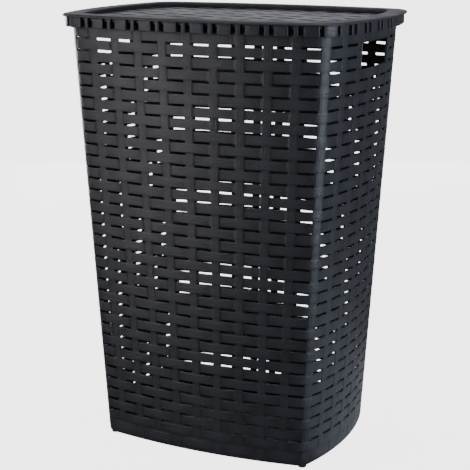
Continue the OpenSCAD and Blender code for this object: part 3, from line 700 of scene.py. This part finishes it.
def bottom_mesh(plan, shape):
    """Bottom plate with its raised panel: loops that run from the ceiling of the hollow under the
    panel out to the plate's rounded edge, and back in over the top of the panel. The panel's
    loops are rounded rectangles, and those of the edge follow the outline."""
    low, high, rib = shape.z_base, shape.z_wall, shape.rib_h
    k = plan.scale(high)
    half_x = plan.at(plan.quarter, high)[0] - shape.floor_border
    half_y = -plan.at(0.0, high)[1] - shape.floor_border
    t, fillet, chamfer, hem = high - low, 0.0008, 0.001, 0.0002
    r = t - hem

    def panel_loops(rows):
        """Rounded rectangles with the inset and the height of each row."""
        boxes = [(rounded_box(half_x, half_y, shape.floor_r, inset), z) for inset, z in rows]
        return np.array([np.column_stack([box, np.full(len(box), z)]) for box, z in boxes])

    under = panel_loops([(t + 5 * fillet, low + rib), (t + fillet, low + rib),
                         (t, low + rib - fillet), (t, low + chamfer), (t - chamfer, low),
                         (t - 4 * chamfer, low)])
    edge = np.concatenate([arc((-r, low + r), (r, r), -90, 0, 7),
                           [(-hem, high), (-6 * chamfer, high)]])
    over = panel_loops([(-3 * chamfer, high), (-fillet, high + fillet / 8), (0.0, high + fillet),
                        (0.0, high + rib - chamfer), (chamfer, high + rib),
                        (6 * chamfer, high + rib)])
    runs = plan.ring(0.0, (FLOOR_SIDE, FLOOR_CORNER, FLOOR_SIDE))
    return loops_mesh(np.concatenate([under, plan.sweep(edge, runs, k), over]))


def foot_mesh(shape, node):
    """A round foot at the place of its solid: circles whose radius is a share of the foot's radius
    at each height, widening from the ground to the underside of the plate."""
    low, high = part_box(node)
    section = [(0.45, 0.0006), (0.55, 0.0), (0.8, 0.0), (0.95, 0.0004), (1.0, 0.0012),
               (1.0, shape.z_base + 0.0005)]
    wide, z = np.array(section).T[..., None]
    angle = np.linspace(0, 2 * math.pi, FOOT_POINTS, endpoint=False)
    x = (low[0] + high[0]) / 2 + wide * shape.foot_r * np.cos(angle)
    y = (low[1] + high[1]) / 2 + wide * shape.foot_r * np.sin(angle)
    return loops_mesh(np.stack(np.broadcast_arrays(x, y, z), -1))


class HAMPER_OT_bottom(bpy.types.Operator):
    """Builds the bottom plate with its raised panel, and the four feet"""
    bl_idname = "hamper.bottom"
    bl_label = "Bottom and feet"

    def execute(self, context):
        shape = context.scene.hamper_shape
        finish = finish_of(context, "shell")
        # painted shade: the bottom gets a middle level of painted shade, and the feet below it a
        # darker one
        make_piece("bottom", bottom_mesh(plan_of(context), shape), finish, "basket",
                   ["base_plate"], shade_tone=0.5)
        for place in ("front_left", "front_right", "back_left", "back_right"):
            node = f"foot_{place}"
            make_piece(f"pad_{place}", foot_mesh(shape, node), finish, "basket", [node],
                       shade_tone=0.4)
        return {"FINISHED"}


# ---------------------------------------------------------------------- rim

def tooth(plan, rim, lo, hi):
    """One tooth of the frieze from run lo to hi: an outline of runs and places outwards, with its
    two upright edges rounded, carried up from the frieze's foot, where it is drawn in along the
    outline's own normals."""
    r, inner, outer = rim.round, 0.0004, rim.reach - 0.00005
    face = np.linspace(lo + r, hi - r, max(2, int((hi - lo) / rim.tooth_step)) + 1)
    a = np.radians([30, 60])
    bend = np.column_stack([r * np.sin(a), r * np.cos(a), np.sin(a), np.cos(a)])
    outline = np.concatenate([
        np.column_stack([face, np.full_like(face, outer), np.zeros_like(face),
                         np.ones_like(face)]),
        bend + [hi - r, outer - r, 0, 0],
        [(hi, outer - r, 1, 0), (hi, inner, 1, 0), (lo, inner, -1, 0), (lo, outer - r, -1, 0)],
        bend[::-1] * [-1, 1, -1, 1] + [lo + r, outer - r, 0, 0]])
    levels = [(0.0016, rim.z_frieze), (0.0007, rim.z_frieze), (0.0002, rim.z_frieze + 0.0003),
              (0.0, rim.z_frieze + 0.0008), (0.0, rim.z_rim - 0.0001)]
    inset, z = np.array(levels).T[..., None]
    run, off, across, out = outline.T
    run = run - across * np.minimum(inset, (hi - lo) / 3)
    return loops_mesh(plan.at(run, z, off - out * inset, plan.k_lid))


def flange(plan, shape, rim):
    """The flange over the wall: a flat section with a rounded outer edge, carried along the
    outline."""
    r = rim.round
    edge = rim.reach - rim.set_back - r
    section = np.concatenate([[(-shape.wall_t, rim.z_flange), (edge, rim.z_flange)],
                              arc((edge, rim.z_flange + r), (r, r), -60, 0, 3),
                              arc((edge, rim.z_rim - r), (r, r), 0, 90, 4),
                              [(-shape.wall_t, rim.z_rim)]])
    return loops_mesh(plan.sweep(section, plan.ring(), plan.k_lid), closed=True)


class HAMPER_OT_rim(bpy.types.Operator):
    """Builds the toothed frieze and the flange over it"""
    bl_idname = "hamper.rim"
    bl_label = "Toothed rim"

    def execute(self, context):
        shape, weave, rim, _, _ = settings(context)
        plan = plan_of(context)
        q, p = plan.quarter, plan.pitch
        wide, thin = rim.tooth_share * p / 2, rim.thin_share * p / 2
        front = (np.arange(weave.cols_front) - (weave.cols_front - 1) / 2) * p
        side = q + (np.arange(weave.cols_side) - (weave.cols_side - 1) / 2) * p
        # a wide tooth over each slot column, a thin one between two, and one on each corner
        teeth = []
        for columns in (front, 2 * q + front, side, 2 * q + side):
            for n, run in enumerate(columns):
                teeth.append((run, wide))
                if n:
                    teeth.append((run - p / 2, thin))
        corner = plan.run_corner
        for run in (corner, 2 * q - corner, 2 * q + corner, -corner):
            teeth.append((run, rim.corner_tooth / 2))
        parts = [flange(plan, shape, rim)]
        parts += [tooth(plan, rim, run - half, run + half) for run, half in teeth]
        nodes = [f"rim_{side}" for side in ("front", "right", "back", "left")]
        nodes += [f"rim_corner_{a}_{b}" for a in ("front", "back") for b in ("left", "right")]
        # painted light: the rim's colour is painted lighter, at one level all round
        make_piece("rim", join_parts(parts), finish_of(context, "shell"), "basket", nodes,
                   shade_tone=0.75)
        return {"FINISHED"}


# ---------------------------------------------------------------------- lid

BOX_GAP = 0.00003   # how far the frame stays inside the solids' box


def lid_section(shape, lid):
    """Section of the lid frame, as places outwards and heights, all the way round: the locating
    ring, the hollow over the rim, the lip, the rounded outer edge (a quarter of an ellipse), the
    flat top, and the rounded edge down to the panel's seat (a quarter of an ellipse)."""
    top, foot = shape.total_h - BOX_GAP, lid.lip_foot
    out, inner = lid.reach - BOX_GAP, lid.reach - lid.frame_w
    ring = -lid.ring_in
    ring_foot, roof, lip = foot - lid.ring_h, top - lid.skin, out - lid.lip_t
    seat = lid.z_panel - lid.panel_t
    ease, fillet, tip, rise, bevel = 0.0005, 0.001, 0.0008, 0.0013, 0.0003
    crown = out - lid.nose
    crown_in = inner + lid.brow
    flat = np.array([0.25, 0.5, 0.75])
    return np.concatenate([
        [(ring - lid.ring_t, ring_foot + ease), (ring - lid.ring_t + ease, ring_foot),
         (ring - ease, ring_foot), (ring, ring_foot + ease), (ring, roof - fillet),
         (ring + fillet, roof), (lip - fillet, roof), (lip, roof - fillet),
         (lip, foot + 0.8 * ease), (lip + 0.8 * ease, foot), (out - tip, foot)],
        arc((out - tip, foot + tip), (tip, tip), -60, -30, 2),
        arc((crown, foot + rise), (lid.nose, top - foot - rise), 0, 90, 13),
        np.column_stack([crown + (crown_in - crown) * flat, np.full(3, top)]),
        arc((crown_in, top - lid.brow_h), (lid.brow, lid.brow_h), 90, 180, 9),
        [(inner, seat + bevel), (inner + bevel, seat), (ring - lid.ring_t, seat)]])


class HAMPER_OT_lid_frame(bpy.types.Operator):
    """Builds the smooth rounded frame of the lid"""
    bl_idname = "hamper.lid_frame"
    bl_label = "Lid frame"

    def execute(self, context):
        shape, _, _, lid, _ = settings(context)
        plan = plan_of(context)
        loops = plan.sweep(lid_section(shape, lid), plan.ring(), plan.k_lid)
        nodes = [f"lid_frame_{side}" for side in ("front", "back", "left", "right")]
        # painted light: the frame's colour is painted a little lighter, at one level all round
        make_piece("lid_frame", loops_mesh(loops, closed=True), finish_of(context, "lid"), "lid",
                   nodes, shade_tone=0.6, sharp=50.0)
        return {"FINISHED"}


def panel_mesh(plan, lid):
    """The woven panel: a plain weave of flat strands on a square grid, cut to the outline. A
    strand that runs across sways by wave * cos(pi * x / strand_x), one that runs from front to
    back by along_share * wave * cos(pi * y / strand_y) with the other sign, each falls off at its
    own edges by the cube of the place across it, and the higher of the two is seen."""
    _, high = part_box("lid_panel")
    spare, gap = 5, 0.00005
    reach = [math.ceil(c / lid.cell) + spare for c in high[:2]]
    gx, gy = np.meshgrid(*(np.arange(-n, n + 1) * lid.cell for n in reach), indexing="ij")
    k, off = plan.k_lid, lid.reach - lid.frame_w + lid.seat

    def inside(x, y):
        """Whether points lie within the outline, which is where its three arcs overlap."""
        x, y = np.abs(x), np.abs(y)
        arcs = ((plan.cf, plan.rf), (plan.cs, plan.rs), (plan.cc, plan.rc))
        front, side, corner = (np.hypot(x - k * c[0], y - k * c[1]) - k * r < off
                               for c, r in arcs)
        in_corner = (x > k * plan.cc[0]) & (y > k * plan.cc[1])
        return front & side & (~in_corner | corner)

    cells = inside((gx[:-1, :-1] + gx[1:, 1:]) / 2, (gy[:-1, :-1] + gy[1:, 1:]) / 2)
    i, j = np.round(gx / lid.strand_x), np.round(gy / lid.strand_y)
    dx, dy = gx / lid.strand_x * 2 - 2 * i, gy / lid.strand_y * 2 - 2 * j
    across = lid.wave * np.cos(np.pi * gx / lid.strand_x) * np.where(j % 2 == 0, 1, -1)
    along = lid.wave * np.cos(np.pi * gy / lid.strand_y) * np.where(i % 2 == 0, -1, 1)
    across = across + lid.strand_h * (1 - np.abs(dy) ** 3)
    along = along * lid.along_share + lid.strand_h * (1 - np.abs(dx) ** 3)
    h, rise = np.maximum(across, along), lid.wave + lid.strand_h
    top = lid.z_panel - gap - rise + h
    foot = np.full_like(gx, lid.z_panel - lid.panel_t + gap)

    below = gx.size
    quads = grid_quads(np.arange(below).reshape(gx.shape))
    faces = [quads[cells], quads[cells][:, ::-1] + below]
    pad = np.pad(cells, 1)
    n, m = cells.shape
    for di, dj, first, second in ((0, -1, 0, 1), (1, 0, 1, 2), (0, 1, 2, 3), (-1, 0, 3, 0)):
        edge = quads[cells & ~pad[1 + di:n + 1 + di, 1 + dj:m + 1 + dj]]
        a, b = edge[:, first], edge[:, second]
        faces.append(np.stack([b, a, a + below, b + below], -1))
    faces = np.concatenate(faces)
    verts = np.concatenate([np.stack([gx, gy, z], -1).reshape(-1, 3) for z in (top, foot)])
    # painted shade and painted highlight: the panel's colour is darker where its strands dip and
    # lighter on their tops, and its underside has a fixed middle level
    relief = np.concatenate([np.clip(h / rise, 0, 1).ravel(), np.full(below, 0.45)])
    warp = np.concatenate([(along > across).ravel(), np.zeros(below)])
    used, numbers = np.unique(faces, return_inverse=True)
    marks = {"relief": relief[used], "warp": warp[used]}
    return verts[used], numbers.reshape(faces.shape).tolist(), marks


class HAMPER_OT_lid_panel(bpy.types.Operator):
    """Builds the woven panel in the recess of the lid"""
    bl_idname = "hamper.lid_panel"
    bl_label = "Lid panel"

    def execute(self, context):
        verts, faces, marks = panel_mesh(plan_of(context), context.scene.hamper_lid)
        make_piece("lid_weave", (verts, faces), finish_of(context, "panel"), "lid",
                   ["lid_panel"], marks=marks, sharp=60.0)
        return {"FINISHED"}


# ------------------------------------------------------------------- hinges

def knuckle(hinge, top, x):
    """One knuckle around the hinge line, as a ring of loops (y, z) = (r cos a, r sin a) with
    r(a) = max(knuckle_r, w(a)), where w(a) is the way from the hinge line to the edge of the web
    that rises to the height top. The web's edges are lines with a normal and a distance."""
    brow_y, brow_z = 0.5 * hinge.knuckle_r, 0.7 * hinge.knuckle_r
    foot, past, n_round = 0.0003, 0.001, 72
    slope_y, slope_z = top - brow_z, brow_y + hinge.web_out
    edges = [(0, 1, top), (-1, 0, hinge.web_in),
             (slope_y, slope_z, slope_y * brow_y + slope_z * brow_z)]
    first = math.atan2(brow_z, brow_y)
    last = math.pi - math.atan2(foot, hinge.web_in)
    corners = [math.atan2(top, -hinge.web_out), math.atan2(top, -hinge.web_in), last, last + past]
    angle = np.linspace(0, 2 * math.pi, n_round, endpoint=False)
    angle = np.sort(np.concatenate([angle, corners]))
    web = np.full(len(angle), np.inf)
    for ny, nz, reach in edges:
        facing = ny * np.cos(angle) + nz * np.sin(angle)
        web = np.where(facing > EPS, np.minimum(web, reach / np.maximum(facing, EPS)), web)
    web = np.where((angle >= first) & (angle <= last), web, 0.0)
    outer = np.maximum(hinge.knuckle_r, web)
    bore = np.full(len(angle), hinge.pin_r + hinge.bore_gap)
    half, c = hinge.knuckle_w / 2, hinge.bevel
    r = np.stack([bore, outer - c, outer, outer, outer - c, bore])
    across = x + np.array([-half, -half, c - half, half - c, half, half])[:, None]
    loops = np.broadcast_arrays(across, hinge.hinge_y + r * np.cos(angle),
                                hinge.hinge_z + r * np.sin(angle))
    return loops_mesh(np.stack(loops, -1), closed=True)


class HAMPER_OT_hinges(bpy.types.Operator):
    """Builds the knuckles and gives the hinge ears and pins their plastic"""
    bl_idname = "hamper.hinges"
    bl_label = "Hinges"

    def execute(self, context):
        _, _, _, lid, hinge = settings(context)
        sink = 0.0002       # how far the web's top is sunk into the lip
        top = lid.lip_foot + sink - hinge.hinge_z
        for side, sign in (("left", -1), ("right", 1)):
            # painted light: each knuckle's colour is painted a little lighter, at one level
            make_piece(f"knuckle_{side}", knuckle(hinge, top, sign * hinge.hinge_x),
                       finish_of(context, "lid"), "lid", [f"lid_knuckle_{side}"], shade_tone=0.6)
            for stem, kind in (("hinge_ears", "shell"), ("hinge_pin", "pin")):
                node = frame["nodes"][f"{stem}_{side}"]
                node.data.materials.clear()
                node.data.materials.append(finish_of(context, kind))
        return {"FINISHED"}


# -------------------------------------------------------------------- stage

FLOOR_HALF, SIDES_H = 16.0, 12.0    # half width of the floor, and height of the pale sides
FLOOR_GLOW, WORLD_GLOW = 3.7, 0.16
PLAIN_LIGHT, COOL, SKY = (1.0, 0.98, 1.0), (0.80, 0.88, 1.0), (0.92, 0.92, 1.0)
# name, place, target, width and height, watts, colour
LIGHTS = (
    ("Front panel", (-0.73, -1.07, 0.30), (-0.10, -0.17, 0.40), (0.35, 0.7), 4.4, PLAIN_LIGHT),
    ("Corner light", (1.95, -0.45, 0.5), (0.2, -0.10, 0.2), (1.3, 1.4), 39.0, COOL),
    ("Back light", (-1.1, 2.3, 1.15), (0, 0, 0.615), (3.0, 0.6), 9.0, SKY),
    ("Key light", (-1.3, -1.4, 1.3), (-0.1, 0, 0.5), (0.8, 0.8), 13.0, PLAIN_LIGHT),
    ("Top light", (0.2, 0.1, 2.8), (0, 0, 0.6), (1.6, 1.6), 30.0, PLAIN_LIGHT),
    ("Rear light", (-0.9, 2.0, 0.30), (0.0, 0.16, 0.35), (1.4, 0.5), 15.0, PLAIN_LIGHT),
    ("Left light", (-2.0, 0.7, 0.6), (-0.2, 0, 0.35), (0.9, 1.2), 26.0, PLAIN_LIGHT),
    ("Floor glow", (0.50, 0.25, 0.01), (0.46, 0.24, 1.0), (0.45, 0.9), 0.55, COOL),
)
CAMERA_PLACE = (0.8139, -1.7158, 0.7493)
CAMERA_AZIMUTH, CAMERA_ELEVATION = math.radians(25.914), math.radians(11.644)
LENS = 102.7838                     # millimetres, on a frame 36 mm wide
SHIFT = (0.0212766, -0.0957447)     # shares of the frame's width


def soft_light(name, place, target, size, power, tint):
    """A rectangular light that faces its target and isn't seen itself."""
    light = bpy.data.lights.new(name, "AREA")
    light.shape = "RECTANGLE"
    light.size, light.size_y = size
    light.energy = power
    light.color = tint
    lamp = bpy.data.objects.new(name, light)
    lamp.visible_camera = False
    lamp.location = place
    lamp.rotation_euler = (Vector(target) - Vector(place)).to_track_quat("-Z", "Y").to_euler()
    bpy.context.scene.collection.objects.link(lamp)


def pale_floor(scene):
    """A pale floor whose four sides rise far away, so that low views have the same ground. It
    glows evenly, and lights or tints nothing else."""
    corners = [(-1, -1), (1, -1), (1, 1), (-1, 1)]
    verts = [(x * FLOOR_HALF, y * FLOOR_HALF, z) for z in (0.0, SIDES_H) for x, y in corners]
    sides = [(i, i + 4, (i + 1) % 4 + 4, (i + 1) % 4) for i in range(4)]
    mesh = bpy.data.meshes.new("floor")
    mesh.from_pydata(verts, [], [(0, 1, 2, 3), *sides])
    mat = bpy.data.materials.new("Pale floor")
    mat.use_nodes = True
    shader = mat.node_tree.nodes["Principled BSDF"]
    shader.inputs["Base Color"].default_value = (*scene.hamper_finish.floor, 1)
    shader.inputs["Roughness"].default_value = 0.9
    shader.inputs["Specular IOR Level"].default_value = 0.2
    shader.inputs["Emission Color"].default_value = (1.0, 1.0, 1.0, 1)
    shader.inputs["Emission Strength"].default_value = FLOOR_GLOW
    mesh.materials.append(mat)
    floor = bpy.data.objects.new("floor", mesh)
    floor.visible_diffuse = False
    floor.visible_glossy = False
    scene.collection.objects.link(floor)


class HAMPER_OT_stage(bpy.types.Operator):
    """Adds the floor, the soft lights and the camera"""
    bl_idname = "hamper.stage"
    bl_label = "Floor, lights and camera"

    def execute(self, context):
        scene = context.scene
        pale_floor(scene)
        world = bpy.data.worlds.new("Studio")
        world.use_nodes = True
        background = world.node_tree.nodes["Background"]
        background.inputs["Color"].default_value = (0.90, 0.95, 1.0, 1)
        background.inputs["Strength"].default_value = WORLD_GLOW
        scene.world = world
        for light in LIGHTS:
            soft_light(*light)

        cam = bpy.data.cameras.new("Camera")
        cam.sensor_width = 36.0
        cam.lens = LENS
        cam.shift_x, cam.shift_y = SHIFT
        cam.clip_end = 200.0
        camera = bpy.data.objects.new("Camera", cam)
        camera.location = CAMERA_PLACE
        az, el = CAMERA_AZIMUTH, CAMERA_ELEVATION
        aim = Vector((-math.sin(az) * math.cos(el), math.cos(az) * math.cos(el), -math.sin(el)))
        camera.rotation_euler = aim.to_track_quat("-Z", "Y").to_euler()
        scene.collection.objects.link(camera)
        scene.camera = camera
        return {"FINISHED"}


class HAMPER_PT_panel(bpy.types.Panel):
    """Settings and builders of the hamper"""
    bl_idname = "HAMPER_PT_panel"
    bl_label = "Hamper"
    bl_space_type = "VIEW_3D"
    bl_region_type = "UI"
    bl_category = "Hamper"

    def draw(self, context):
        for key, group in GROUPS.items():
            box = self.layout.box()
            box.label(text=key.replace("hamper_", "").capitalize())
            for prop in group.__annotations__:
                box.prop(getattr(context.scene, key), prop)
        for operator in STEPS:
            self.layout.operator(operator.bl_idname)


GROUPS = {"hamper_shape": HamperShape, "hamper_weave": HamperWeave, "hamper_rim": HamperRim,
          "hamper_lid": HamperLid, "hamper_hinge": HamperHinge, "hamper_finish": HamperFinish}
STEPS = (HAMPER_OT_walls, HAMPER_OT_bottom, HAMPER_OT_rim, HAMPER_OT_lid_frame,
         HAMPER_OT_lid_panel, HAMPER_OT_hinges, HAMPER_OT_stage)


def register():
    """Registers the classes and adds the sizes and colours to the scene."""
    for cls in (*GROUPS.values(), *STEPS, HAMPER_PT_panel):
        bpy.utils.register_class(cls)
    for key, group in GROUPS.items():
        setattr(bpy.types.Scene, key, bpy.props.PointerProperty(type=group))


def unregister():
    """Removes the sizes and colours and unregisters the classes."""
    for key in GROUPS:
        delattr(bpy.types.Scene, key)
    for cls in (HAMPER_PT_panel, *STEPS[::-1], *list(GROUPS.values())[::-1]):
        bpy.utils.unregister_class(cls)


def main():
    """Builds the whole hamper and its stage."""
    register()
    bpy.ops.hamper.walls()
    bpy.ops.hamper.bottom()
    bpy.ops.hamper.rim()
    bpy.ops.hamper.lid_frame()
    bpy.ops.hamper.lid_panel()
    bpy.ops.hamper.hinges()
    bpy.ops.hamper.stage()
    bpy.context.view_layer.update()


if __name__ == "__main__":
    main()
